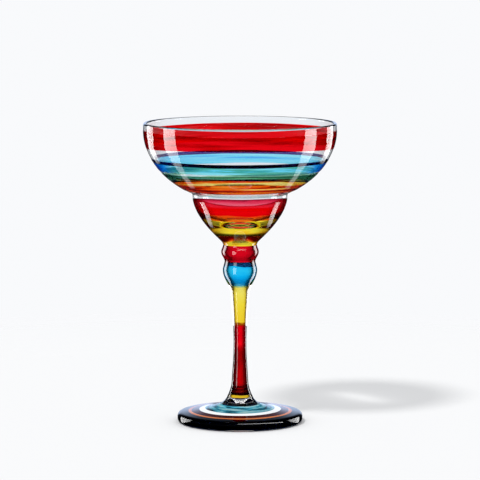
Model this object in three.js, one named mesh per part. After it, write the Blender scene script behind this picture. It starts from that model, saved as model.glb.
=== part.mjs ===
import * as THREE from 'three';

// Footed cocktail glass with painted bands, mm, +Z up, standing on z = 0.

// Foot
const FOOT_RADIUS = 38;
const FOOT_HEIGHT = 14;
const FOOT_EDGE_HEIGHT = 5.9;
const FOOT_BASE_ROUND = 2;
const FOOT_TOP_ROUND = 2.4;
const FOOT_FLARE_DROP = 4.6;
const FOOT_FLARE_REACH = 3;
const FOOT_DOME_REACH = 15;
const FOOT_DOME_RISE = 1.9;
const FOOT_RECESS_RADIUS = 26;
const FOOT_RECESS_DEPTH = 1.2;
const FOOT_RECESS_SLOPE = 4.8;

// Stem
const STEM_LENGTH = 70;
const STEM_TOP_RADIUS = 7;
const STEM_SHANK_RADIUS = 5.3;
const STEM_SHANK_DROP = 5;
const STEM_WAIST_RADIUS = 3.75;
const STEM_WAIST_DROP = 35.5;
const STEM_FLARE_RADIUS = 5;
const STEM_FLARE_RISE = 9;
const STEM_BASE_RADIUS = 8.5;
const STEM_FLARE_LEAN = 0.5;
const STEM_SHANK_LEAN = 0.9;
const STEM_NECK_LEAN = 0.25;
const STEM_TOP_LEAN = 0.8;

// Knops
const LOWER_KNOP_HEIGHT = 14.6;
const LOWER_KNOP_RADIUS = 10.3;
const LOWER_KNOP_CROWN = 5.3;
const LOWER_KNOP_ROUND = 3.7;
const LOWER_KNOP_SWELL = 1.6;
const KNOP_WAIST_RADIUS = 9.2;
const UPPER_KNOP_HEIGHT = 10.1;
const UPPER_KNOP_RADIUS = 11.3;
const UPPER_KNOP_CROWN = 4.3;

// Bowl: a wide saucer over a narrow cup, blown as one
const NECK_RADIUS = 10.1;
const CUP_HEIGHT = 31.3;
const CUP_RADIUS = 28.9;
const CUP_FILLET_RADIUS = 13;
const CUP_FILLET_RISE = 3.9;
const CUP_SIDE_DROP = 10;
const CUP_BELLY_REACH = 8.4;
const CUP_BELLY_RISE = 8;
const CUP_FLOOR = 12.5;
const CUP_INNER_DROP = 17.5;
const CUP_INNER_REACH = 12;
const SAUCER_HEIGHT = 43;
const RIM_RADIUS = 58.6;
const LIP_HEIGHT = 4.2;
const WALL = 1.9;

// Paint on the saucer, from the rim down; the orange band fills what is left
const RIM_CLEAR = 4.7;
const RED_BAND = 10.2;
const CLEAR_BAND = 6.6;
const NAVY_LINE = 1.5;
const SKY_BAND = 5.4;
const SEA_CLEAR = 1.2;
const SEA_BAND = 4.3;
const LOWER_LINE = 0.8;
const SAUCER_CLEAR = 2.4;

// Paint on the cup, from the waist down; the yellow band fills what is left
const CUP_CLEAR = 3.8;
const PINK_BAND = 11;

// Paint on the stem, from the top down; the red coat fills what is left
const STEM_YELLOW_COAT = 24.9;
const STEM_YELLOW_RING = 1.6;
const STEM_RING_CLEARANCE = 1.3;

// Paint on the foot, ring widths from the centre out; the navy ring runs to the edge
const FOOT_CLEAR_RADIUS = 12;
const TEAL_RING = 8.7;
const WHITE_RING = 4.2;
const MAROON_RING = 4.9;
const ORANGE_RING = 1.9;
const NAVY_EDGE_RISE = 1.4;

// Coats
const COAT = 0.2;
const COAT_BOND = 0.05;
const COAT_GAP = 0.3;

const SEGMENTS = 28;

const point = (r, z) => new THREE.Vector2(r, z);

function curve(a, b, c, d, steps) {
  const line = new THREE.CubicBezierCurve(a, b, c, d);
  return line.getPoints(steps);
}

// Runs of points joined end to end, without the doubled ends
function joinRuns(...runs) {
  const path = [];
  for (const run of runs) {
    for (const p of run) {
      const last = path[path.length - 1];
      if (!last || last.distanceTo(p) > 1e-6) {
        path.push(p);
      }
    }
  }
  return path;
}

// A path that follows another at a set distance, to the left of its travel
function besidePath(path, distance) {
  return path.map((p, i) => {
    const before = path[Math.max(i - 1, 0)];
    const after = path[Math.min(i + 1, path.length - 1)];
    const along = after.clone().sub(before).normalize();
    return point(p.x - along.y * distance, p.y + along.x * distance);
  });
}

// The stretch of a path between two distances along it
function stretchOf(path, from, to) {
  const run = [];
  let walked = 0;
  for (let i = 0; i + 1 < path.length; i += 1) {
    const a = path[i];
    const b = path[i + 1];
    const length = a.distanceTo(b);
    const start = (from - walked) / length;
    const end = (to - walked) / length;
    if (start >= 0 && start < 1) {
      run.push(a.clone().lerp(b, start));
    }
    if (start < 0 && end > 0) {
      run.push(a.clone());
    }
    if (end > 0 && end <= 1) {
      run.push(a.clone().lerp(b, end));
    }
    walked += length;
  }
  return joinRuns(run);
}

// How far along a path a height or a radius is first reached
function reach(path, axis, value) {
  let walked = 0;
  for (let i = 0; i + 1 < path.length; i += 1) {
    const a = path[i];
    const b = path[i + 1];
    const low = Math.min(a[axis], b[axis]);
    const high = Math.max(a[axis], b[axis]);
    if (value >= low && value <= high && high > low) {
      return walked + a.distanceTo(b) * Math.abs((value - a[axis]) / (b[axis] - a[axis]));
    }
    walked += a.distanceTo(b);
  }
  return walked;
}

// A closed body turned about the Z axis from a path that runs with the body on its left
function turned(path, closed) {
  const places = [];
  const rows = path.map((p) => {
    const onAxis = Math.abs(p.x) < 1e-6;
    const first = places.length / 3;
    const count = onAxis ? 1 : SEGMENTS;
    for (let j = 0; j < count; j += 1) {
      const angle = (2 * Math.PI * j) / SEGMENTS;
      places.push(p.x * Math.cos(angle), p.x * Math.sin(angle), p.y);
    }
    return { first, count };
  });
  const faces = [];
  const last = closed ? rows.length : rows.length - 1;
  for (let i = 0; i < last; i += 1) {
    const low = rows[i];
    const high = rows[(i + 1) % rows.length];
    for (let j = 0; j < SEGMENTS; j += 1) {
      const a = low.first + (j % low.count);
      const b = low.first + ((j + 1) % low.count);
      const c = high.first + ((j + 1) % high.count);
      const d = high.first + (j % high.count);
      if (low.count > 1) {
        faces.push(a, b, c);
      }
      if (high.count > 1) {
        faces.push(a, c, d);
      }
    }
  }
  const geometry = new THREE.BufferGeometry();
  geometry.setAttribute('position', new THREE.Float32BufferAttribute(places, 3));
  geometry.setIndex(faces);
  geometry.computeVertexNormals();
  return geometry;
}

const part = new THREE.Group();
part.name = 'cocktail_glass';

function addPiece(name, geometry, colour, roughness) {
  const material = new THREE.MeshStandardMaterial({ color: colour, roughness, metalness: 0 });
  const mesh = new THREE.Mesh(geometry, material);
  mesh.name = name;
  part.add(mesh);
}

// A coat is a thin shell beside the glass wall, with the wall on the left of the path
function addCoat(name, wall, from, to, colour) {
  const under = stretchOf(wall, from + COAT_GAP / 2, to - COAT_GAP / 2);
  const inner = besidePath(under, -COAT_BOND);
  const outer = besidePath(under, -COAT_BOND - COAT);
  addPiece(name, turned([...outer, ...inner.reverse()], true), colour, 0.12);
}

// Heights of the joints, from the table up
const stemZ = FOOT_HEIGHT;
const lowerKnopZ = stemZ + STEM_LENGTH;
const upperKnopZ = lowerKnopZ + LOWER_KNOP_HEIGHT;
const neckZ = upperKnopZ + UPPER_KNOP_HEIGHT;
const waistZ = neckZ + CUP_HEIGHT;
const rimZ = waistZ + SAUCER_HEIGHT;

const GLASS = 0xe6edf0;

// Foot: flat ring underneath, rounded edge, low dome, flare up to the stem
const edgeRun = [];
const edgeArcs = [
  { z: FOOT_BASE_ROUND, round: FOOT_BASE_ROUND, start: -Math.PI / 2 },
  { z: FOOT_EDGE_HEIGHT - FOOT_TOP_ROUND, round: FOOT_TOP_ROUND, start: 0 },
];
for (const { z, round, start } of edgeArcs) {
  for (let i = 0; i <= 3; i += 1) {
    const angle = start + (Math.PI / 2) * (i / 3);
    edgeRun.push(point(FOOT_RADIUS - round + round * Math.cos(angle), z + round * Math.sin(angle)));
  }
}
const domeRun = curve(
  edgeRun[edgeRun.length - 1],
  point(FOOT_RADIUS - FOOT_TOP_ROUND - FOOT_DOME_REACH, FOOT_EDGE_HEIGHT + FOOT_DOME_RISE),
  point(STEM_BASE_RADIUS + FOOT_FLARE_REACH, FOOT_HEIGHT - FOOT_FLARE_DROP),
  point(STEM_BASE_RADIUS, FOOT_HEIGHT),
  8,
);
const footWall = joinRuns(edgeRun, domeRun);
const recessRun = [
  point(0, FOOT_RECESS_DEPTH),
  point(FOOT_RECESS_RADIUS - FOOT_RECESS_SLOPE, FOOT_RECESS_DEPTH),
  point(FOOT_RECESS_RADIUS, 0),
];
addPiece('foot', turned(joinRuns(recessRun, footWall, [point(0, FOOT_HEIGHT)]), false), GLASS, 0.05);

// Stem: drawn thin, flaring at both ends
const stemWaist = point(STEM_WAIST_RADIUS, lowerKnopZ - STEM_WAIST_DROP);
const stemFlare = point(STEM_FLARE_RADIUS, stemZ + STEM_FLARE_RISE);
const stemShank = point(STEM_SHANK_RADIUS, lowerKnopZ - STEM_SHANK_DROP);
const flareLean = (stemFlare.y - stemZ) / 3;
const shankLean = (stemFlare.y - stemWaist.y) / 3;
const upperLean = (stemShank.y - stemWaist.y) / 3;
const stemWall = joinRuns(
  curve(
    point(STEM_BASE_RADIUS, stemZ),
    point(STEM_BASE_RADIUS - FOOT_FLARE_REACH / 2, stemZ + flareLean * 0.75),
    point(stemFlare.x + STEM_FLARE_LEAN, stemFlare.y - flareLean),
    stemFlare,
    4,
  ),
  curve(
    stemFlare,
    point(stemFlare.x - STEM_FLARE_LEAN, stemFlare.y - shankLean),
    point(stemWaist.x, stemWaist.y + shankLean),
    stemWaist,
    4,
  ),
  curve(
    stemWaist,
    point(stemWaist.x, stemWaist.y + upperLean),
    point(stemShank.x - STEM_SHANK_LEAN, stemShank.y - upperLean),
    stemShank,
    4,
  ),
  curve(
    stemShank,
    point(stemShank.x + STEM_NECK_LEAN, stemShank.y + STEM_SHANK_DROP / 3),
    point(STEM_TOP_RADIUS - STEM_TOP_LEAN, lowerKnopZ - STEM_SHANK_DROP / 3),
    point(STEM_TOP_RADIUS, lowerKnopZ),
    3,
  ),
);
addPiece('stem', turned(joinRuns([point(0, stemZ)], stemWall, [point(0, lowerKnopZ)]), false), GLASS, 0.05);

// Knops: two rounded swellings, one on the other
const lowerCrownZ = upperKnopZ - LOWER_KNOP_CROWN;
const lowerKnopWall = joinRuns(
  curve(
    point(STEM_TOP_RADIUS, lowerKnopZ),
    point(STEM_TOP_RADIUS + LOWER_KNOP_SWELL, lowerKnopZ + (lowerCrownZ - lowerKnopZ) / 3),
    point(LOWER_KNOP_RADIUS, lowerCrownZ - LOWER_KNOP_ROUND),
    point(LOWER_KNOP_RADIUS, lowerCrownZ),
    4,
  ),
  curve(
    point(LOWER_KNOP_RADIUS, lowerCrownZ),
    point(LOWER_KNOP_RADIUS, lowerCrownZ + LOWER_KNOP_CROWN * 0.4),
    point(KNOP_WAIST_RADIUS, upperKnopZ - LOWER_KNOP_CROWN * 0.3),
    point(KNOP_WAIST_RADIUS, upperKnopZ),
    3,
  ),
);
const lowerKnop = joinRuns([point(0, lowerKnopZ)], lowerKnopWall, [point(0, upperKnopZ)]);
addPiece('lower_knop', turned(lowerKnop, false), GLASS, 0.05);

const upperCrownZ = neckZ - UPPER_KNOP_CROWN;
const upperLift = upperCrownZ - upperKnopZ;
const upperKnopWall = joinRuns(
  curve(
    point(KNOP_WAIST_RADIUS, upperKnopZ),
    point(KNOP_WAIST_RADIUS, upperKnopZ + upperLift * 0.35),
    point(UPPER_KNOP_RADIUS, upperCrownZ - upperLift * 0.45),
    point(UPPER_KNOP_RADIUS, upperCrownZ),
    4,
  ),
  curve(
    point(UPPER_KNOP_RADIUS, upperCrownZ),
    point(UPPER_KNOP_RADIUS, upperCrownZ + UPPER_KNOP_CROWN * 0.4),
    point(NECK_RADIUS, neckZ - UPPER_KNOP_CROWN * 0.3),
    point(NECK_RADIUS, neckZ),
    3,
  ),
);
const upperKnop = joinRuns([point(0, upperKnopZ)], upperKnopWall, [point(0, neckZ)]);
addPiece('upper_knop', turned(upperKnop, false), GLASS, 0.05);

// Bowl, outside from the neck up
const cupFillet = point(CUP_FILLET_RADIUS, neckZ + CUP_FILLET_RISE);
const cupWaist = point(CUP_RADIUS, waistZ);
const cupWall = joinRuns(
  curve(
    point(NECK_RADIUS, neckZ),
    point(NECK_RADIUS, neckZ + CUP_FILLET_RISE / 3),
    cupFillet.clone().sub(point(CUP_BELLY_REACH, CUP_BELLY_RISE).multiplyScalar(0.18)),
    cupFillet,
    3,
  ),
  curve(
    cupFillet,
    cupFillet.clone().add(point(CUP_BELLY_REACH, CUP_BELLY_RISE)),
    point(CUP_RADIUS, waistZ - CUP_SIDE_DROP),
    cupWaist,
    7,
  ),
);
const lipZ = rimZ - LIP_HEIGHT;
const sweep = Math.acos(CUP_RADIUS / RIM_RADIUS);
const saucerDrop = (lipZ - waistZ) / Math.sin(sweep);
const saucerWall = [];
const saucerSteps = 11;
for (let i = 0; i <= saucerSteps; i += 1) {
  const angle = sweep * (1 - i / saucerSteps);
  saucerWall.push(point(RIM_RADIUS * Math.cos(angle), lipZ - saucerDrop * Math.sin(angle)));
}
const lipRound = WALL / 2;
saucerWall.push(point(RIM_RADIUS, rimZ - lipRound));

// Bowl, rim and inside
const rimRun = [];
for (let i = 0; i <= 4; i += 1) {
  const angle = Math.PI * (i / 4);
  rimRun.push(point(RIM_RADIUS - lipRound + lipRound * Math.cos(angle), rimZ - lipRound + lipRound * Math.sin(angle)));
}
const saucerInside = besidePath(saucerWall, WALL).reverse();
const turnStart = saucerInside[saucerInside.length - 1].clone().sub(cupWaist).angle();
const shoulderRun = [];
for (let i = 0; i <= 3; i += 1) {
  const angle = turnStart + (Math.PI - turnStart) * (i / 3);
  shoulderRun.push(point(cupWaist.x + WALL * Math.cos(angle), cupWaist.y + WALL * Math.sin(angle)));
}
const floorZ = neckZ + CUP_FLOOR;
const cupInside = curve(
  point(CUP_RADIUS - WALL, waistZ),
  point(CUP_RADIUS - WALL, waistZ - CUP_INNER_DROP),
  point(CUP_INNER_REACH, floorZ),
  point(0, floorZ),
  8,
);
const bowlWall = joinRuns(cupWall, saucerWall);
const bowlPath = joinRuns([point(0, neckZ)], bowlWall, rimRun, saucerInside, shoulderRun, cupInside);
addPiece('bowl', turned(bowlPath, false), GLASS, 0.05);

// Bands laid down a wall by height; where the wall is too short they all narrow together
function layBands(wall, topZ, bottomZ, bands, fillName) {
  const wanted = bands.reduce((sum, band) => sum + band.height, 0);
  const room = topZ - bottomZ;
  const squeeze = Math.min(1, room / wanted);
  let z = topZ;
  for (const band of bands) {
    const spare = band.name === fillName ? Math.max(0, room - wanted) : 0;
    const nextZ = z - band.height * squeeze - spare;
    if (band.colour !== undefined) {
      addCoat(band.name, wall, reach(wall, 'y', nextZ), reach(wall, 'y', z), band.colour);
    }
    z = nextZ;
  }
}

const saucerBands = [
  { name: 'bowl_red_band', height: RED_BAND, colour: 0xe00a1c },
  { name: 'clear', height: CLEAR_BAND },
  { name: 'bowl_navy_line', height: NAVY_LINE, colour: 0x10163c },
  { name: 'bowl_sky_band', height: SKY_BAND, colour: 0x4fb8ee },
  { name: 'clear', height: SEA_CLEAR },
  { name: 'bowl_sea_band', height: SEA_BAND, colour: 0x3c9a86 },
  { name: 'bowl_lower_line', height: LOWER_LINE, colour: 0x10163c },
  { name: 'bowl_orange_band', height: SEA_BAND, colour: 0xf58220 },
];
layBands(saucerWall, rimZ - RIM_CLEAR, waistZ + SAUCER_CLEAR, saucerBands, 'bowl_orange_band');

const cupBands = [
  { name: 'cup_pink_band', height: PINK_BAND, colour: 0xf02c48 },
  { name: 'cup_yellow_band', height: PINK_BAND, colour: 0xf4d75e },
];
layBands(cupWall, waistZ - CUP_CLEAR, neckZ, cupBands, 'cup_yellow_band');

const knopCoats = [
  { name: 'upper_knop_red_coat', wall: upperKnopWall, colour: 0xd20519 },
  { name: 'lower_knop_blue_coat', wall: lowerKnopWall, colour: 0x28c3f5 },
];
for (const { name, wall, colour } of knopCoats) {
  addCoat(name, wall, 0, wall.reduce((sum, p, i) => sum + (i ? p.distanceTo(wall[i - 1]) : 0), 0), colour);
}

const stemBands = [
  { name: 'stem_yellow_coat', height: STEM_YELLOW_COAT, colour: 0xf6e546 },
  { name: 'stem_red_coat', height: STEM_YELLOW_COAT, colour: 0xcf0514 },
  { name: 'stem_yellow_ring', height: STEM_YELLOW_RING, colour: 0xebb521 },
];
layBands(stemWall, lowerKnopZ, stemZ + STEM_RING_CLEARANCE, stemBands, 'stem_red_coat');

// Rings on the foot, laid from the centre out
const ringWidths = [
  { name: 'foot_teal_ring', width: TEAL_RING, colour: 0x4f9fae },
  { name: 'foot_white_ring', width: WHITE_RING, colour: 0xf6f8f8 },
  { name: 'foot_maroon_ring', width: MAROON_RING, colour: 0x3c0404 },
  { name: 'foot_orange_ring', width: ORANGE_RING, colour: 0xd98a45 },
];
const ringRoom = FOOT_RADIUS - FOOT_TOP_ROUND - FOOT_CLEAR_RADIUS;
const ringsWanted = ringWidths.reduce((sum, ring) => sum + ring.width, 0);
const ringSqueeze = Math.min(1, ringRoom / ringsWanted);
let ringRadius = FOOT_CLEAR_RADIUS;
for (const { name, width, colour } of ringWidths) {
  const nextRadius = ringRadius + width * ringSqueeze;
  addCoat(name, domeRun, reach(domeRun, 'x', nextRadius), reach(domeRun, 'x', ringRadius), colour);
  ringRadius = nextRadius;
}
const edgeStart = reach(footWall, 'y', NAVY_EDGE_RISE);
const edgeEnd = reach(edgeRun, 'y', FOOT_EDGE_HEIGHT) + reach(domeRun, 'x', ringRadius);
addCoat('foot_navy_ring', footWall, edgeStart, edgeEnd, 0x0c1024);

export default part;
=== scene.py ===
import math

import bpy
import numpy as np
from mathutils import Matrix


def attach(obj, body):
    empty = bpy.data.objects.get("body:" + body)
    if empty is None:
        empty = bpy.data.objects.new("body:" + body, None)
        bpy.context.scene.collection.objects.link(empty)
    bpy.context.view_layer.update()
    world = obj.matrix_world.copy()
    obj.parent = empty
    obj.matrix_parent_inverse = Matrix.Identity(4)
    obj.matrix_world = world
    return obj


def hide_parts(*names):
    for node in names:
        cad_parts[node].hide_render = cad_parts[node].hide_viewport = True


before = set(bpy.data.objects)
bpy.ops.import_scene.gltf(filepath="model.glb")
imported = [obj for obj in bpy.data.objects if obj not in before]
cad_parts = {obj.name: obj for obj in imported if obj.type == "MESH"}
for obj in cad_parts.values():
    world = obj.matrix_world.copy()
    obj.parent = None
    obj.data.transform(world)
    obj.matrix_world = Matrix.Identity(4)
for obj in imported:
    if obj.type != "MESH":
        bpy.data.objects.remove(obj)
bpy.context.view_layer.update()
scene = bpy.context.scene
scene.view_settings.view_transform = "Standard"
scene.cycles.max_bounces = 24
scene.cycles.transmission_bounces = 24
scene.cycles.transparent_max_bounces = 48

mm = 0.001
columns = 240  # vertices around each turned piece
rowStep = 0.7 * mm  # rows along a wall
bond = 0.03 * mm  # paint to glass
coatDepth = 0.12 * mm
thinnest = 0.35  # share of a coat's depth that is left at its edges
thinningRun = 0.5 * mm  # how far in from an edge a coat gets its full depth
meetingGap = 0.5 * mm  # coats nearer than this share an edge
jointGap = 0.4 * mm  # a coat that ends nearer than this to a joint runs up to it
surfacesPass = 0.9  # share of the light that the glass's own surfaces let through
tiny = 1e-6  # m, where two places count as one
front = -math.pi / 2  # the side that faces the camera


def outlineOf(name):
    # A turned node's outline, from its lowest point on the axis, read from the vertices at angle zero
    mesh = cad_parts[name].data
    spots = {
        v.index: (round(v.co.x, 6), round(v.co.z, 6))
        for v in mesh.vertices
        if abs(v.co.y) < tiny and v.co.x > -tiny
    }
    links = {}
    for edge in mesh.edges:
        a, b = (spots.get(i) for i in edge.vertices)
        if a and b and a != b:
            links.setdefault(a, set()).add(b)
            links.setdefault(b, set()).add(a)
    path = [min((p for p in links if len(links[p]) == 1), key=lambda p: p[1])]
    while True:
        onward = [p for p in links[path[-1]] if p not in path[-2:]]
        if not onward:
            return np.array(path)
        path.append(onward[0])


def splineThrough(points, step):
    # A curve with even curvature through the points, sampled every step
    gaps = np.linalg.norm(np.diff(points, axis=0), axis=1)
    chord = np.concatenate([[0], np.cumsum(gaps)])
    count = len(points)
    matrix = np.eye(count)
    bend = np.zeros((count, 2))
    for i in range(1, count - 1):
        matrix[i, i - 1 : i + 2] = gaps[i - 1], 2 * (gaps[i - 1] + gaps[i]), gaps[i]
        bend[i] = 6 * ((points[i + 1] - points[i]) / gaps[i] - (points[i] - points[i - 1]) / gaps[i - 1])
    curve = np.linalg.solve(matrix, bend)
    s = np.linspace(0, chord[-1], max(2, int(chord[-1] / step) + 1))
    i = np.clip(np.searchsorted(chord, s, side="right") - 1, 0, count - 2)
    h = gaps[i][:, None]
    a = (chord[i + 1] - s)[:, None]
    b = (s - chord[i])[:, None]
    return (
        curve[i] * a**3 / (6 * h)
        + curve[i + 1] * b**3 / (6 * h)
        + (points[i] / h - curve[i] * h / 6) * a
        + (points[i + 1] / h - curve[i + 1] * h / 6) * b
    )


def smoothWall(points, rounding):
    # The CAD wall as a fine smooth outline; sharp corners and changes of spacing end a run
    step = 0.1 * mm
    sharpTurn = 1.0  # radians
    spacingJump = 2.6  # ratio of one stretch to the next
    along = np.diff(points, axis=0)
    gaps = np.linalg.norm(along, axis=1)
    along = along / gaps[:, None]
    stops = [0]
    for i in range(1, len(points) - 1):
        turn = math.acos(np.clip(along[i - 1] @ along[i], -1, 1))
        if turn > sharpTurn or max(gaps[i] / gaps[i - 1], gaps[i - 1] / gaps[i]) > spacingJump:
            stops.append(i)
    stops.append(len(points) - 1)
    runs = []
    for a, b in zip(stops[:-1], stops[1:]):
        run = points[a : b + 1]
        onAxis = run[-1][0] < tiny and b - a > 2
        if onAxis:
            run = np.vstack([run, run[-2:-5:-1] * (-1, 1)])  # mirrored, so that it crosses the axis level
        fine = splineThrough(run, step)
        if onAxis:
            fine = fine[fine[:, 0] > 0]
            fine = np.vstack([fine, points[b]])
        runs.append(fine if not runs else fine[1:])
    path = np.vstack(runs)
    path = np.clip(path, points.min(0), points.max(0))
    reach = int(3 * rounding / step)
    weight = np.exp(-0.5 * (np.arange(-reach, reach + 1) * step / rounding) ** 2)
    weight /= weight.sum()
    padded = np.vstack([2 * path[0] - path[reach:0:-1], path, 2 * path[-1] - path[-2 : -reach - 2 : -1]])
    soft = np.stack([np.convolve(padded[:, k], weight, "valid") for k in (0, 1)], 1)
    soft[0], soft[-1] = path[0], path[-1]
    return np.clip(soft, points.min(0), points.max(0))


class Wall:
    # A smooth outline measured by distance along it
    def __init__(self, path):
        self.path = path
        self.s = np.concatenate([[0], np.cumsum(np.linalg.norm(np.diff(path, axis=0), axis=1))])
        self.length = self.s[-1]
        along = np.gradient(path, axis=0)
        along /= np.maximum(np.linalg.norm(along, axis=1), 1e-12)[:, None]
        self.out = np.stack([along[:, 1], -along[:, 0]], 1)

    def at(self, s, lift=0.0):
        r = np.interp(s, self.s, self.path[:, 0])
        z = np.interp(s, self.s, self.path[:, 1])
        nr = np.interp(s, self.s, self.out[:, 0])
        nz = np.interp(s, self.s, self.out[:, 1])
        size = np.maximum(np.hypot(nr, nz), 1e-9)
        return r + lift * nr / size, z + lift * nz / size, nr / size, nz / size

    def nearest(self, point):
        return self.s[np.argmin(((self.path - point) ** 2).sum(1))]


angles = front + math.pi + 2 * math.pi * np.arange(columns) / columns  # the seam is at the back
swayWaves = ((2, 0.5), (3, 0.6), (5, 0.35), (8, 0.2), (13, 0.12))  # turns around the glass, and share


def waveAround(edge, seed):
    # How far a hand-painted edge wanders from its ring, all the way round
    chance = np.random.default_rng(seed)
    sway = np.zeros(columns)
    for turns, share in swayWaves:
        sway += share * np.sin(turns * angles + chance.uniform(0, 2 * math.pi))
    lean = edge.get("lean", 0) * np.cos(angles - front)  # up the wall at the front
    sides = edge.get("sides", 0) * np.sin(angles - front) ** 2  # up the wall at left and right
    return (edge.get("shift", 0) + edge.get("wave", 0) * sway + lean + sides) * mm


def turnedMesh(name, rows, closed, slots):
    # Each row: radius, height, normal r, normal z, place across the band, slot of the faces above it
    places, normals, bands, starts = [], [], [], []
    for r, z, nr, nz, band, _ in rows:
        starts.append(len(places))
        if np.max(r) < 0.1 * tiny:  # one vertex on the axis
            places.append((0, 0, float(np.mean(z))))
            normals.append((0, 0, 1 if float(np.mean(nz)) >= 0 else -1))
            bands.append(band)
        else:
            ring = np.broadcast_arrays(r, z, nr, nz, angles)
            c, s = np.cos(ring[4]), np.sin(ring[4])
            places.extend(np.stack([ring[0] * c, ring[0] * s, ring[1]], 1).tolist())
            normals.extend(np.stack([ring[2] * c, ring[2] * s, ring[3]], 1).tolist())
            bands.extend([band] * columns)
    starts.append(len(places))
    faces, faceSlots = [], []
    for i in range(len(rows) if closed else len(rows) - 1):
        k = (i + 1) % len(rows)
        low, high = starts[i], starts[k]
        lowOne = starts[i + 1] - low == 1
        highOne = starts[k + 1] - high == 1
        for j in range(columns):
            n = (j + 1) % columns
            if lowOne:
                faces.append((low, high + n, high + j))
            elif highOne:
                faces.append((low + j, low + n, high))
            else:
                faces.append((low + j, low + n, high + n, high + j))
        faceSlots.extend([rows[i][5]] * columns)
    mesh = bpy.data.meshes.new(name)
    mesh.from_pydata(places, [], faces)
    mesh.polygons.foreach_set("material_index", faceSlots)
    mesh.polygons.foreach_set("use_smooth", [True] * len(faces))
    paintMap = mesh.uv_layers.new(name="paintMap")
    corners = np.zeros(len(mesh.loops), int)
    mesh.loops.foreach_get("vertex_index", corners)
    across = np.array(bands)[corners]
    paintMap.data.foreach_set("uv", np.stack([np.full_like(across, 0.5), across], 1).ravel())
    for material in slots:
        mesh.materials.append(material)
    mesh.normals_split_custom_set_from_vertices(normals)
    piece = bpy.data.objects.new(name, mesh)
    scene.collection.objects.link(piece)
    return piece


class Nodes:
    # A short way to place nodes and wire them
    def __init__(self, tree):
        self.tree = tree
        tree.nodes.clear()

    def add(self, kind, settings=None, **sockets):
        node = self.tree.nodes.new("ShaderNode" + kind)
        for key, value in (settings or {}).items():
            setattr(node, key, value)
        for key, value in sockets.items():
            self.plug(node.inputs[key.replace("_", " ")], value)
        return node

    def plug(self, socket, value):
        if isinstance(value, bpy.types.NodeSocket):
            self.tree.links.new(value, socket)
        else:
            socket.default_value = value

    def calc(self, operation, *values, kind="Math"):
        node = self.add(kind, {"operation": operation})
        for socket, value in zip(node.inputs, values):
            self.plug(socket, value)
        return node.outputs[0]

    def vector(self, operation, *values):
        return self.calc(operation, *values, kind="VectorMath")

    def ramp(self, source, stops):
        # Stops: place from 0 to 1, then one level or a colour in light
        ramp = self.add("ValToRGB")
        elements = ramp.color_ramp.elements
        elements.remove(elements[1])
        for place, shade in stops:
            element = elements[0] if place == stops[0][0] else elements.new(place)
            element.position = place
            shade = (shade,) * 3 if isinstance(shade, (int, float)) else tuple(shade)
            element.color = (*shade[:3], 1)
        self.plug(ramp.inputs[0], source)
        return ramp.outputs[0]


def newMaterial(name):
    material = bpy.data.materials.new(name)
    material.use_nodes = True
    nodes = Nodes(material.node_tree)
    output = nodes.add("OutputMaterial")
    return material, nodes, output.inputs["Surface"]


def linear(colour):
    # Colour as seen, 0 to 255, to light
    share = np.array(colour) / 255
    return np.where(share <= 0.04045, share / 12.92, ((share + 0.055) / 1.055) ** 2.4)


def stain(colour, layers):
    # What a coat passes, from the colour that its layers show together; the shader takes the root at each
    return tuple(np.clip(linear(colour) / surfacesPass, 0, 1) ** (2 / layers))


def paintedEdgeShade(nodes, stops, layers):
    # Painted shade: the colour darkens as the glass is seen more edge-on, by stops given from face-on to
    # edge-on
    facing = nodes.add("LayerWeight", Blend=0.5).outputs["Facing"]
    shadeStops = [(place, np.ones(3) * np.array(share) ** (2 / layers)) for place, share in stops]
    return nodes.ramp(facing, shadeStops)


def glassShader(nodes, surface):
    shader = nodes.add("BsdfPrincipled", Roughness=0.0, IOR=1.5, Transmission_Weight=1.0)
    nodes.plug(surface, shader.outputs[0])
    return shader


clearLook = {
    # edge: painted shade that darkens the glass towards its outline; face-on it keeps the glass's own faint
    # blue tint
    "edge": [(0.0, (0.97, 0.985, 1.0)), (0.8, (0.97, 0.985, 1.0)), (0.9, 0.6), (0.97, 0.4), (1.0, 0.4)],
    "swell": {"Scale": 60.0, "Detail": 1.0},  # uneven, as it was blown by hand
    "uneven": {"Strength": 0.2, "Distance": 0.2 * mm},
}
clearGlass, nodes, surface = newMaterial("clearGlass")
shader = glassShader(nodes, surface)
# Painted shade on the clear glass, from its edge ramp
nodes.plug(shader.inputs["Base Color"], paintedEdgeShade(nodes, clearLook["edge"], 1))
place = nodes.add("TexCoord").outputs["Object"]
swell = nodes.add("TexNoise", Vector=place, **clearLook["swell"]).outputs[0]
uneven = nodes.add("Bump", Height=swell, **clearLook["uneven"])
nodes.plug(shader.inputs["Normal"], uneven.outputs[0])
bonded, nodes, surface = newMaterial("bonded")  # faces where glass meets glass or paint
nodes.plug(surface, nodes.add("BsdfTransparent").outputs[0])

brushed = {  # brush strokes that all the paint shares
    "streaks": {"Scale": 1.0, "Detail": 3.0, "Roughness": 0.55, "Distortion": 0.25},
    "bristles": {"Scale": 1.0, "Detail": 2.0}, "bristleGrain": (5, 5, 4), "bristleDull": 0.03,
    "marks": {"Strength": 0.04, "Distance": 0.02 * mm},
}


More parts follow.
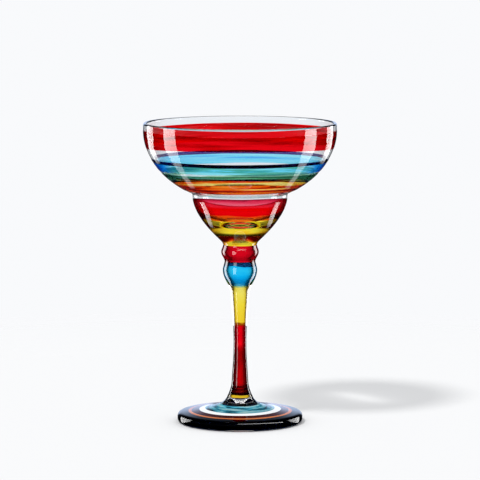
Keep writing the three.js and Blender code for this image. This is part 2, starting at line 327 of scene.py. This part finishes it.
def enamel(name, look):
    # Transparent paint brushed around the glass: long streaks between the look's colours
    material, nodes, surface = newMaterial(name)
    shader = glassShader(nodes, surface)
    clear = look.get("clear", 1.0)
    shader.inputs["Transmission Weight"].default_value = clear
    seed = look.get("seed", 0.0)
    place = nodes.add("TexCoord").outputs["Object"]
    around = nodes.vector("NORMALIZE", nodes.vector("MULTIPLY", place, (1, 1, 0)))
    band = nodes.add("SeparateXYZ", Vector=nodes.add("UVMap", {"uv_map": "paintMap"}).outputs[0]).outputs[1]
    if "thickLow" in look:  # paint gathered at the low edge
        width, dense = look["thickLow"]["width"], look["thickLow"]["clear"]
        lowEdge = nodes.ramp(band, [(0, dense), (width, dense), (1.5 * width, clear)])
        nodes.plug(shader.inputs["Transmission Weight"], lowEdge)
    tall = nodes.add("CombineXYZ", Z=nodes.calc("MULTIPLY", band, look.get("strokes", 4.0)))
    turns = look.get("turns", 1.1)
    spot = nodes.vector("MULTIPLY_ADD", around, (turns, turns, 0), tall.outputs[0])
    spot = nodes.vector("ADD", spot, (seed, 0.37 * seed, 0))
    noise = nodes.add("TexNoise", Vector=spot, **brushed["streaks"]).outputs[0]
    across = look.get("across", 0.0)  # how much of the colour follows the height in the band
    if across:
        byHeight = nodes.calc("MULTIPLY", band, across)
        noise = nodes.calc("ADD", byHeight, nodes.calc("MULTIPLY", noise, 1 - across))
    if "drift" in look:  # a slow change of colour across the glass
        drift = nodes.vector("DOT_PRODUCT", around, (*look["drift"], 0)).node.outputs["Value"]
        noise = nodes.calc("ADD", noise, drift)
    layers = look.get("layers", 1)
    tint = nodes.ramp(noise, [(p, stain(colour, layers)) for p, colour in look["colours"]])
    # Painted shade: the coat's colour darkens towards its outline by the look's edge ramp (on the knops also
    # a painted highlight crescent)
    if "edge" in look:
        tint = nodes.vector("MULTIPLY", tint, paintedEdgeShade(nodes, look["edge"], layers))
    nodes.plug(shader.inputs["Base Color"], tint)
    fine = nodes.vector("MULTIPLY", spot, brushed["bristleGrain"])
    brush = nodes.add("TexNoise", Vector=fine, **brushed["bristles"]).outputs[0]
    dull = look.get("roughness", 0.0)
    dullness = nodes.ramp(brush, [(0.4, dull), (0.7, dull + brushed["bristleDull"])])
    nodes.plug(shader.inputs["Roughness"], dullness)
    marks = nodes.add("Bump", Height=brush, **brushed["marks"])
    nodes.plug(shader.inputs["Normal"], marks.outputs[0])
    return material


# Painted shade for each kind of painted wall: the share of its colour that is kept, from face-on (0) to
# edge-on (1)
saucerPaintedShade = [(0.0, 1.0), (0.45, 1.0), (0.6, 0.85), (0.75, 0.6), (0.85, 0.25), (1.0, 0.1)]
skyPaintedShade = [
    (0.0, 1.0), (0.52, 1.0), (0.66, (0.15, 0.5, 0.9)), (0.8, (0.02, 0.15, 0.6)), (1.0, (0.01, 0.04, 0.2)),
]
lowSaucerPaintedShade = [(0.0, 1.0), (0.68, 1.0), (0.8, 0.75), (0.92, 0.4), (1.0, 0.2)]
seaPaintedShade = [(0.0, 1.0), (0.54, 1.0), (0.64, (0.45, 0.55, 0.45)), (0.76, (0.15, 0.22, 0.2)), (1.0, 0.08)]
cupPaintedShade = [
    (0.0, 1.0), (0.28, 1.0), (0.38, (0.55, 0.45, 0.35)), (0.5, (0.45, 0.3, 0.2)), (0.56, (0.24, 0.11, 0.06)),
    (0.63, (0.09, 0.03, 0.02)), (1.0, (0.03, 0.01, 0.01)),
]
cupBasePaintedShade = [
    (0.0, 1.0), (0.44, 1.0), (0.54, (0.85, 0.55, 0.2)), (0.66, (0.6, 0.28, 0.06)), (0.78, (0.3, 0.12, 0.04)),
    (0.9, (0.1, 0.04, 0.02)), (1.0, (0.05, 0.02, 0.01)),
]
# The knops' ramps also paint a dark ring and, just inside the outline, a lighter painted highlight crescent
redKnopPaintedShadeAndCrescent = [
    (0.0, 1.0), (0.07, 0.92), (0.12, 0.7), (0.2, 0.42), (0.26, 0.28), (0.3, 0.05), (0.4, 0.03), (0.46, 0.2),
    (1.0, 0.05),
]
blueKnopPaintedShadeAndCrescent = [
    (0.0, 1.0), (0.08, 0.97), (0.16, 0.75), (0.22, 0.5), (0.27, 0.08), (0.32, 0.02), (0.4, 0.03), (0.46, 0.2),
    (1.0, 0.05),
]
ringPaintedShade = [(0.0, 1.0), (0.22, 1.0), (0.32, 0.3), (0.45, 0.05), (1.0, 0.05)]
yellowPaintedShade = [
    (0.0, 1.0), (0.12, 0.9), (0.2, (0.75, 0.66, 0.25)), (0.26, (0.4, 0.3, 0.08)), (0.31, (0.03, 0.02, 0.01)),
    (0.5, (0.1, 0.08, 0.03)), (1.0, 0.1),
]
redStemPaintedShade = [(0.0, 1.0), (0.025, 0.85), (0.07, 0.5), (0.12, 0.15), (0.3, 0.1), (1.0, 0.06)]

# Paint: each coat's slot, colours as its layers show them, its painted shade towards the outline (edge), and
# how its edges wander in mm
bowlCoats = {
    "bowl_red_band": {
        "slot": "red_enamel", "edge": saucerPaintedShade, "strokes": 3.0, "across": -0.2,
        "colours": [(0.33, (168, 0, 3)), (0.46, (212, 2, 8)), (0.62, (244, 8, 22))],
        "low": {"wave": 0.12, "lean": 1.6, "sides": -1.0}, "high": {"wave": 0.1, "lean": -0.2, "shift": 0.2},
    },
    "bowl_navy_line": {
        "slot": "navy_enamel",
        "colours": [(0.38, (4, 8, 20)), (0.75, (62, 38, 128))], "drift": (0, 0.2),
        "low": {}, "high": {"wave": 0.15, "lean": 0.5, "sides": -0.15},
    },
    "bowl_sky_band": {
        "slot": "sky_enamel", "edge": skyPaintedShade,
        "colours": [(0.3, (70, 180, 245)), (0.42, (112, 214, 254)), (0.7, (160, 234, 254))],
        "strokes": 3.0, "seed": 2.0, "turns": 0.6,
        "low": {"wave": 0.25, "shift": -0.7, "lean": 1.6, "sides": -0.45},
        "high": {"wave": 0.15, "shift": -0.95, "lean": 0.5, "sides": 0.1},
    },
    "bowl_sea_band": {
        "slot": "sea_enamel", "edge": seaPaintedShade, "layers": 2,
        "colours": [
            (0.34, (16, 76, 64)), (0.45, (52, 128, 84)), (0.52, (104, 176, 124)), (0.56, (176, 230, 232)),
            (0.7, (214, 246, 250)),
        ],
        "strokes": 3.0, "seed": 5.0, "turns": 0.5, "drift": (-0.06, 0), "across": -0.2,
        "low": {}, "high": {"wave": 0.2, "lean": 1.8, "shift": -0.6},
    },
    "bowl_lower_line": {
        "slot": "navy_enamel",
        "colours": [(0.3, (8, 14, 30)), (0.7, (24, 44, 70))],
        "low": {}, "high": {"wave": 0.2, "lean": 7.9, "shift": -3.1},
    },
    "bowl_orange_band": {
        "slot": "orange_enamel", "edge": lowSaucerPaintedShade,
        "colours": [
            (0.41, (140, 12, 0)), (0.46, (228, 50, 3)), (0.51, (252, 112, 16)), (0.56, (255, 166, 48)),
            (0.61, (255, 226, 130)),
        ],
        "strokes": 4.0, "seed": 8.0, "turns": 0.6, "clear": 0.85,
        "low": {"wave": 0.2, "shift": -0.5}, "high": {"wave": 0.25, "lean": 7.9, "shift": -3.1},
    },
    "cup_pink_band": {
        "slot": "pink_enamel", "edge": cupPaintedShade, "across": 0.8, "layers": 2, "clear": 0.88,
        "colours": [
            (0.1, (255, 64, 8)), (0.27, (253, 46, 6)), (0.32, (242, 0, 1)), (0.56, (242, 0, 1)),
            (0.62, (248, 14, 30)), (0.68, (255, 44, 66)), (0.75, (255, 36, 58)), (0.79, (250, 16, 42)),
            (0.835, (220, 3, 22)), (0.88, (110, 0, 5)),
        ],
        "low": {"wave": 0.2}, "high": {"wave": 0.12, "lean": 4.3, "shift": -1.6, "sides": 2.3},
    },
    "cup_yellow_band": {
        "slot": "amber_enamel", "edge": cupBasePaintedShade, "layers": 2, "thickLow": {"width": 0.1, "clear": 0.3},
        "colours": [(0.3, (240, 168, 10)), (0.6, (255, 230, 60))],
        "low": {}, "high": {"wave": 0.2},
    },
}
knopCoats = {
    "upper_knop_red_coat": {
        "slot": "red_enamel", "edge": redKnopPaintedShadeAndCrescent, "layers": 2,
        "colours": [(0.3, (208, 4, 24)), (0.7, (224, 8, 34))],
    },
    "lower_knop_blue_coat": {
        "slot": "blue_enamel", "edge": blueKnopPaintedShadeAndCrescent, "across": 0.7, "layers": 2,
        "colours": [
            (0.19, (150, 214, 220)), (0.23, (40, 160, 215)), (0.35, (2, 150, 226)), (0.47, (10, 180, 246)),
            (0.62, (52, 206, 255)), (0.73, (20, 182, 250)), (0.76, (2, 14, 52)), (0.85, (0, 3, 16)),
        ],
    },
}
stemCoats = {
    "stem_yellow_coat": {
        "slot": "yellow_enamel", "edge": yellowPaintedShade, "across": 0.85, "layers": 2,
        "colours": [
            (0.13, (150, 72, 2)), (0.15, (246, 206, 44)), (0.5, (248, 220, 60)), (0.9, (250, 232, 110)),
        ],
        "low": {"wave": 0.08},
    },
    "stem_red_coat": {
        "slot": "red_enamel", "edge": redStemPaintedShade, "across": 0.6, "layers": 2,
        "colours": [
            (0.15, (212, 2, 14)), (0.32, (206, 2, 10)), (0.44, (176, 1, 5)), (0.52, (150, 2, 5)),
            (0.59, (186, 1, 12)), (0.65, (244, 8, 26)), (0.72, (230, 2, 20)),
        ],
        "low": {"wave": 0.08}, "high": {"wave": 0.08},
    },
    "stem_yellow_ring": {
        "slot": "yellow_enamel", "edge": ringPaintedShade, "layers": 2, "clear": 0.35,
        "colours": [(0.3, (244, 184, 16)), (0.7, (250, 212, 50))],
        "low": {"wave": 0.06}, "high": {"wave": 0.08},
    },
}
footCoats = {
    "foot_teal_ring": {
        "slot": "teal_enamel", "layers": 2, "clear": 0.55,
        "colours": [
            (0.38, (2, 24, 36)), (0.45, (40, 140, 168)), (0.53, (96, 206, 230)), (0.64, (190, 240, 246)),
        ],
        "strokes": 3.5, "turns": 1.2,
        "low": {"wave": 0.15}, "high": {"wave": 0.15},
    },
    "foot_white_ring": {
        "slot": "white_enamel", "layers": 2, "clear": 0.0, "roughness": 0.1,
        "colours": [(0.3, (240, 243, 244)), (0.7, (250, 252, 252))],
        "low": {"wave": 0.1}, "high": {"wave": 0.12, "shift": -0.6},
    },
    "foot_maroon_ring": {
        "slot": "maroon_enamel", "layers": 2, "clear": 0.5,
        "colours": [(0.3, (56, 10, 8)), (0.7, (96, 22, 14))],
        "low": {"wave": 0.1}, "high": {"wave": 0.1},
    },
    "foot_orange_ring": {
        "slot": "orange_enamel", "layers": 2, "clear": 0.0, "roughness": 0.1,
        "colours": [(0.35, (170, 70, 30)), (0.65, (228, 140, 76))],
        "low": {"wave": 0.1}, "high": {"wave": 0.1},
    },
    "foot_navy_ring": {
        "slot": "navy_enamel",
        "colours": [(0.3, (8, 9, 20)), (0.7, (30, 36, 76))],
        "low": {"shift": -0.9}, "high": {"wave": 0.1},
    },
}
glassPieces = {  # from the table up; rounding in mm evens out the CAD outline
    "foot": {"coats": footCoats, "jointBelow": False, "jointAbove": True, "rounding": 0.25},
    "stem": {"coats": stemCoats, "jointBelow": True, "jointAbove": True, "rounding": 0.6},
    "lower_knop": {"coats": knopCoats, "jointBelow": True, "jointAbove": True, "rounding": 0.5},
    "upper_knop": {"coats": knopCoats, "jointBelow": True, "jointAbove": True, "rounding": 0.5},
    "bowl": {"coats": bowlCoats, "jointBelow": True, "jointAbove": False, "rounding": 0.3},
}
made = {}


def coatSpan(node, wall):
    # Where a CAD coat starts and ends along its glass wall
    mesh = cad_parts[node].data
    spots = {(round(v.co.x, 6), round(v.co.z, 6)) for v in mesh.vertices if abs(v.co.y) < tiny and v.co.x > 0}
    reached = [wall.nearest(np.array(p)) for p in spots]
    return min(reached), max(reached)


def buildPiece(node, plan):
    outline = outlineOf(node)
    inner = outline[1 if plan["jointBelow"] else 0 : -1 if plan["jointAbove"] else None]
    wall = Wall(smoothWall(inner, plan["rounding"] * mm))
    coats = []
    for name, look in plan["coats"].items():
        if name.startswith(node.split("_")[0]) or (node == "bowl" and name.startswith("cup")):
            if "knop" not in node or name.startswith(node):
                coats.append([*coatSpan(name, wall), name, look])
    coats.sort(key=lambda c: c[0])
    for a, b in zip(coats[:-1], coats[1:]):  # neighbours meet
        if b[0] - a[1] < meetingGap:
            a[1] = b[0] = (a[1] + b[0]) / 2
    if coats and coats[0][0] < jointGap and plan["jointBelow"]:
        coats[0][0] = 0.0
    if coats and wall.length - coats[-1][1] < jointGap and plan["jointAbove"]:
        coats[-1][1] = wall.length
    marks = {}

    def markAt(s, edge, seed):
        key = round(s, 7)
        if key not in marks:
            free = 0 < s < wall.length
            marks[key] = s + (waveAround(edge, seed) if free else np.zeros(columns))
        return marks[key]

    strips = []
    reached = markAt(0.0, {}, 0)
    reachedAt = 0.0
    for a, b, name, look in coats:
        seed = sum(map(ord, name))
        start = markAt(a, look.get("low", {}), seed)
        end = markAt(b, look.get("high", {}), seed + 1)
        if a - reachedAt > tiny:
            strips.append((reached, start, None, None))
        strips.append((start, end, name, look))
        reached, reachedAt = end, b
    if wall.length - reachedAt > tiny:
        strips.append((reached, markAt(wall.length, {}, 0), None, None))

    rows = []
    if plan["jointBelow"]:
        rows.append((0.0, wall.path[0][1], 0.0, -1.0, 0.0, 1))
    for k, (start, end, name, _) in enumerate(strips):
        count = max(2, int(np.mean(end - start) / rowStep))
        final = k == len(strips) - 1
        for i in range(count + (1 if final else 0)):
            r, z, nr, nz = wall.at(start + (end - start) * i / count)
            rows.append((r, z, nr, nz, i / count, 1 if name else 0))
    if plan["jointAbove"]:
        rows[-1] = rows[-1][:5] + (1,)
        rows.append((0.0, wall.path[-1][1], 0.0, 1.0, 1.0, 1))
    piece = turnedMesh(node + "Glass", rows, False, [clearGlass, bonded])
    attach(piece, "root")
    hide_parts(node)
    made[node] = piece

    for start, end, name, look in strips:
        if not name:
            continue
        paint = enamel(name + "Paint", look)
        width = np.mean(end - start)
        count = max(3, int(width / rowStep))
        outside, inside = [], []
        for i in range(count + 1):
            t = i / count
            depth = coatDepth * min(1.0, thinnest + (1 - thinnest) * min(t, 1 - t) * width / thinningRun)
            s = start + (end - start) * t
            r, z, nr, nz = wall.at(s, bond + depth)
            outside.append((r, z, nr, nz, t, 0))
            r, z, nr, nz = wall.at(s, bond)
            inside.append((r, z, -nr, -nz, t, 1))
        inside.reverse()
        inside[-1] = inside[-1][:5] + (0,)
        coat = turnedMesh(name + "Coat", outside + inside, True, [paint, bonded])
        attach(coat, "root")
        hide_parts(name)
        made[name] = coat


for node, plan in glassPieces.items():
    buildPiece(node, plan)
print("glass and paint built")

# Studio: white behind the glass, a dark room around it, soft lights that show only as reflections
studio = {  # lamps in mm and degrees, the floor in m
    "backdrop": (0.945, 0.955, 0.973),
    "mirrored": (0.84, 1.03, 1.42),
    "ambient": 0.904,
    # Levels by turn and by rise, for reflections inside the glass and off its outside
    "insideAround": [(0.0, 0.06), (0.25, 0.06), (0.45, 0.28), (0.7, 0.3), (0.85, 0.7), (0.93, 1.0)],
    "insideRise": [(0.53, 1.0), (0.56, 0.3), (0.6, 0.03)],
    "mirrorAround": [(0.0, 0.02), (0.88, 0.02), (0.92, 1.0)],
    "mirrorRise": [(0.475, 0.02), (0.485, 1.0), (0.55, 1.0), (0.58, 0.55), (0.61, 0.15), (0.65, 0.02)],
    "key": 1.3,
    "keyFrom": (-73.5, -89.5, 165),
    "keySpread": 8.5,
    "gathered": {"at": (77, 88, 12), "turn": -55, "size": (52, 10), "power": 0.001},  # light the bowl gathers
    "floorRadius": 0.5,
    "floorDrop": 0.0002,
    "floorFade": (0.6, 0.98),  # shares of the radius between which the floor fades into the backdrop
    "floorGrey": 0.8,
}
world = bpy.data.worlds.new("studioWorld")
scene.world = world
world.use_nodes = True
nodes = Nodes(world.node_tree)
output = nodes.add("OutputWorld")
rays = nodes.add("LightPath").outputs
axes = nodes.add("SeparateXYZ", Vector=nodes.add("TexCoord").outputs["Generated"]).outputs
fromFront = nodes.calc("ARCTAN2", nodes.calc("ABSOLUTE", axes[0]), nodes.calc("MULTIPLY", axes[1], -1.0))
turnAway = nodes.calc("DIVIDE", fromFront, math.pi)  # camera's side 0, behind the glass 1
rise = nodes.calc("ADD", nodes.calc("DIVIDE", nodes.calc("ARCSINE", axes[2]), math.pi), 0.5)  # down 0, up 1
inside = nodes.calc("MINIMUM", rays["Glossy Depth"], 1.0)
behind = nodes.calc(  # what a ray sees that was reflected inside the glass: the dark room or the backdrop
    "MULTIPLY", nodes.ramp(turnAway, studio["insideAround"]), nodes.ramp(rise, studio["insideRise"])
)
through = nodes.calc("MULTIPLY_ADD", inside, nodes.calc("SUBTRACT", behind, 1.0), 1.0)
mirrored = nodes.calc(  # what a ray sees that was reflected off the outside
    "MULTIPLY", nodes.ramp(turnAway, studio["mirrorAround"]), nodes.ramp(rise, studio["mirrorRise"])
)
isThrough = rays["Is Transmission Ray"]
isMirrored = nodes.calc("MULTIPLY", rays["Is Glossy Ray"], nodes.calc("SUBTRACT", 1.0, isThrough))
isPlain = nodes.calc("SUBTRACT", nodes.calc("SUBTRACT", 1.0, isThrough), isMirrored)
lit = nodes.calc("MULTIPLY", through, isThrough)
lit = nodes.calc("MULTIPLY_ADD", mirrored, isMirrored, lit)
lit = nodes.calc("MULTIPLY_ADD", isPlain, studio["ambient"], lit)
isSeen = rays["Is Camera Ray"]
strength = nodes.calc("ADD", nodes.calc("MULTIPLY", lit, nodes.calc("SUBTRACT", 1.0, isSeen)), isSeen)
colour = nodes.add("Mix", {"data_type": "RGBA"})
nodes.plug(colour.inputs[0], isMirrored)
nodes.plug(colour.inputs[6], (*studio["backdrop"], 1))  # the two colour sockets
nodes.plug(colour.inputs[7], (*studio["mirrored"], 1))
background = nodes.add("Background", Color=colour.outputs[2], Strength=strength)
nodes.plug(output.inputs["Surface"], background.outputs[0])

# Soft lights as seen from one point. Each row: turn from the camera's side, rise and half width in degrees,
# brightness, and how much the far end rises where it is slanted
saucerCoats = ["bowl"] + [name for name in bowlCoats if name.startswith("bowl")]
softLights = {
    "wallLight": {
        "seenFrom": (-54, -20, 175), "reach": 400, "strength": 4.5, "sides": (1, -1), "lights": saucerCoats,
        "rows": [(135, 10, 9, 1), (136, -10, 10, 1), (145, -18, 9, 0.8, 2.5), (151, -24, 6, 0.1, 3)],
    },
    "ribbonLight": {
        "seenFrom": (-43, -40, 168), "reach": 400, "strength": 8.0, "sides": (1, -1), "lights": saucerCoats,
        "rows": [
            (92.5, 6, 9.7, 1.4), (93.5, -13, 10.7, 1), (99, -26.5, 11.4, 0.8, 1.5), (104, -35, 9, 0.5, 3),
            (113, -42, 6.7, 0.35, 3), (122, -46, 6, 0.3, 3), (135.5, -47, 3.5, 0.24, 2.7),
            (144.5, -46.5, 3, 0.2, 3), (154, -44, 2.4, 0.14, 3.5), (163, -39, 1.5, 0.06, 3),
        ],
    },
    "cupLight": {
        "seenFrom": (-22, -16, 130), "reach": 400, "strength": 6.0, "sides": (1, -1),
        "lights": ["cup_pink_band", "cup_yellow_band"],
        "rows": [
            (110, -15.5, 9, 1, 0.8), (110.5, -27, 8.5, 1, 2.5), (115.5, -35, 8.5, 0.9, 4),
            (126, -37.5, 8, 0.6, 4.5), (139, -37, 8, 0.35, 5), (147, -34.5, 5, 0.15, 4.5),
        ],
    },
    "upperKnopLight": {
        "seenFrom": (-8, -5, 104), "reach": 300, "strength": 7.0, "sides": (1, -1),
        "lights": ["upper_knop", "upper_knop_red_coat"],
        "rows": [(119, 36, 13, 1), (119, -10, 12, 1), (121, -28, 8, 0.12)], "outside": True,
    },
    "lowerKnopLight": {
        "seenFrom": (-8, -5, 91), "reach": 300, "strength": 7.0, "sides": (1, -1),
        "lights": ["lower_knop", "lower_knop_blue_coat"],
        "rows": [(119, 34, 13, 1), (117, -20, 13, 1), (113, -42, 9, 0.8)], "outside": True,
    },
    "upperStemLight": {
        "seenFrom": (-5, -3, 82), "reach": 300, "strength": 8.0, "sides": (1, -1),
        "lights": ["stem_yellow_coat"],
        "rows": [(140, -28, 36, 1), (140, 20, 36, 1)], "outside": True,
    },
    "lowerStemLight": {
        "seenFrom": (-8, -5, 50), "reach": 300, "strength": 7.0, "sides": (1, -1),
        "lights": ["stem", "stem_red_coat", "stem_yellow_ring"],
        "rows": [(122, -50, 6.5, 1), (122, 45, 6.5, 1)], "outside": True,
    },
    "squareLight": {
        "seenFrom": (-4, -10, 100), "reach": 250, "strength": 5.0, "sides": (1,), "lights": list(knopCoats),
        "rows": [(37, -22, 12, 1), (37, 22, 12, 1)], "outside": True,
    },
    "barLight": {
        "seenFrom": (0, -10, 104), "reach": 250, "strength": 4.5, "sides": (1,),
        "lights": ["upper_knop_red_coat"],
        "rows": [(-9, 29, 36, 1), (-9, 32, 36, 1)], "outside": True,
    },
    "stemLight": {
        "seenFrom": (-3, -4, 50), "reach": 250, "strength": 5.0, "sides": (1,), "lights": list(stemCoats),
        "rows": [(48, -28, 6, 1), (48, 10, 6, 1)], "outside": True,
    },
    "footLight": {
        "seenFrom": (-33, -16, 5), "reach": 300, "strength": 4.0, "sides": (1, -1),
        "lights": ["foot_navy_ring"],
        "rows": [(122, -12, 19, 1, -7), (122, 17, 19, 1, -7)],
    },
    "edgeLight": {
        "seenFrom": (0, -36, 6), "reach": 150, "strength": 14.0, "sides": (-1,), "lights": ["foot_navy_ring"],
        "rows": [(42, 22, 48, 1, -18), (42, 28, 48, 1, -18)],
    },
    "domeLight": {
        "seenFrom": (0, -9, 13), "reach": 60, "strength": 16.0, "sides": (1,), "lights": ["stem", "foot"],
        "rows": [(0, 30, 75, 1), (0, 80, 75, 1)],
    },
}
for name, plan in softLights.items():
    glow, nodes, surface = newMaterial(name + "Glow")
    share = nodes.add("Attribute", {"attribute_name": "share"}).outputs["Fac"]
    if "outside" in plan:  # no image of it through the glass
        crossed = nodes.calc("MINIMUM", nodes.add("LightPath").outputs["Transmission Depth"], 1.0)
        share = nodes.calc("MULTIPLY", share, nodes.calc("SUBTRACT", 1.0, crossed))
    emission = nodes.add("Emission", Strength=nodes.calc("MULTIPLY", share, plan["strength"]))
    both = nodes.add("AddShader")  # lets the lights behind it through
    nodes.plug(both.inputs[0], emission.outputs[0])
    nodes.plug(both.inputs[1], nodes.add("BsdfTransparent").outputs[0])
    nodes.plug(surface, both.outputs[0])
    glow.cycles.emission_sampling = "NONE"
    for side in plan["sides"]:
        corners, shares = [], []
        for turn, lift, half, part, *slant in plan["rows"]:
            for edge in (-1, 1):
                a = math.radians(turn + edge * half)
                b = math.radians(lift + edge * sum(slant))
                way = np.array([-math.sin(a), -math.cos(a), math.tan(b)])
                x, y, z = (np.array(plan["seenFrom"]) + plan["reach"] * way) * mm
                corners.append((side * x, y, z))
                shares.append(part)
        mesh = bpy.data.meshes.new(name)
        mesh.from_pydata(corners, [], [(i, i + 1, i + 3, i + 2) for i in range(0, len(corners) - 2, 2)])
        mesh.attributes.new("share", "FLOAT", "POINT").data.foreach_set("value", shares)
        mesh.materials.append(glow)
        light = bpy.data.objects.new(name + ("Left" if side > 0 else "Right"), mesh)
        scene.collection.objects.link(light)
        light.visible_camera = False
        light.visible_diffuse = False
        light.visible_transmission = False
        light.visible_shadow = False
        group = bpy.data.collections.new(light.name + "Shows")
        for lit in plan["lights"]:
            group.objects.link(made[lit])
        light.light_linking.receiver_collection = group

for name, piece in made.items():
    if not name.startswith("foot"):
        piece.visible_diffuse = False  # the backdrop's light reaches the floor around the glass

bpy.ops.mesh.primitive_circle_add(
    vertices=96, radius=studio["floorRadius"], fill_type="NGON", location=(0, 0, -studio["floorDrop"])
)
floor = bpy.context.object
floor.name = "floor"
floor.visible_glossy = False
material, nodes, surface = newMaterial("floorWhite")
far = nodes.vector("LENGTH", nodes.add("TexCoord").outputs["Object"]).node.outputs["Value"]
edge = nodes.add("MapRange", Value=far)
fadeFrom, fadeTo = studio["floorFade"]
edge.inputs["From Min"].default_value = studio["floorRadius"] * fadeFrom
edge.inputs["From Max"].default_value = studio["floorRadius"] * fadeTo
mix = nodes.add("MixShader")
nodes.plug(mix.inputs[0], edge.outputs[0])
nodes.plug(mix.inputs[1], nodes.add("BsdfDiffuse", Color=(*[studio["floorGrey"]] * 3, 1)).outputs[0])
nodes.plug(mix.inputs[2], nodes.add("BsdfTransparent").outputs[0])
nodes.plug(surface, mix.outputs[0])
floor.data.materials.append(material)

keyLamp = bpy.data.lights.new("keyLamp", "SUN")
keyLamp.energy = studio["key"]
keyLamp.angle = math.radians(studio["keySpread"])
key = bpy.data.objects.new("keyLamp", keyLamp)
x, y, z = studio["keyFrom"]
key.rotation_euler = (math.atan2(math.hypot(x, y), z), 0, math.atan2(x, -y))
key.visible_glossy = False
key.visible_transmission = False
scene.collection.objects.link(key)

plan = studio["gathered"]
gatheredLamp = bpy.data.lights.new("gatheredLamp", "AREA")
gatheredLamp.shape = "ELLIPSE"
gatheredLamp.size, gatheredLamp.size_y = (mm * length for length in plan["size"])
gatheredLamp.energy = plan["power"]
gathered = bpy.data.objects.new("gatheredLamp", gatheredLamp)
gathered.location = [mm * place for place in plan["at"]]
gathered.rotation_euler = (0, 0, math.radians(plan["turn"]))
gathered.visible_camera = False
gathered.visible_glossy = False
gathered.visible_transmission = False
scene.collection.objects.link(gathered)
group = bpy.data.collections.new("gatheredShows")
group.objects.link(floor)
gathered.light_linking.receiver_collection = group
print("studio built")

# Camera: a long lens from the front, in m and degrees
view = {"distance": 1.771, "height": 0.3123, "pitch": 6.472, "lens": 220.0, "sensor": 36}
lensData = bpy.data.cameras.new("camera")
lensData.lens = view["lens"]
lensData.sensor_width = view["sensor"]
camera = bpy.data.objects.new("camera", lensData)
camera.location = (0, -view["distance"], view["height"])
camera.rotation_euler = (math.radians(90 - view["pitch"]), 0, 0)
scene.collection.objects.link(camera)
scene.camera = camera

print("scene ready")
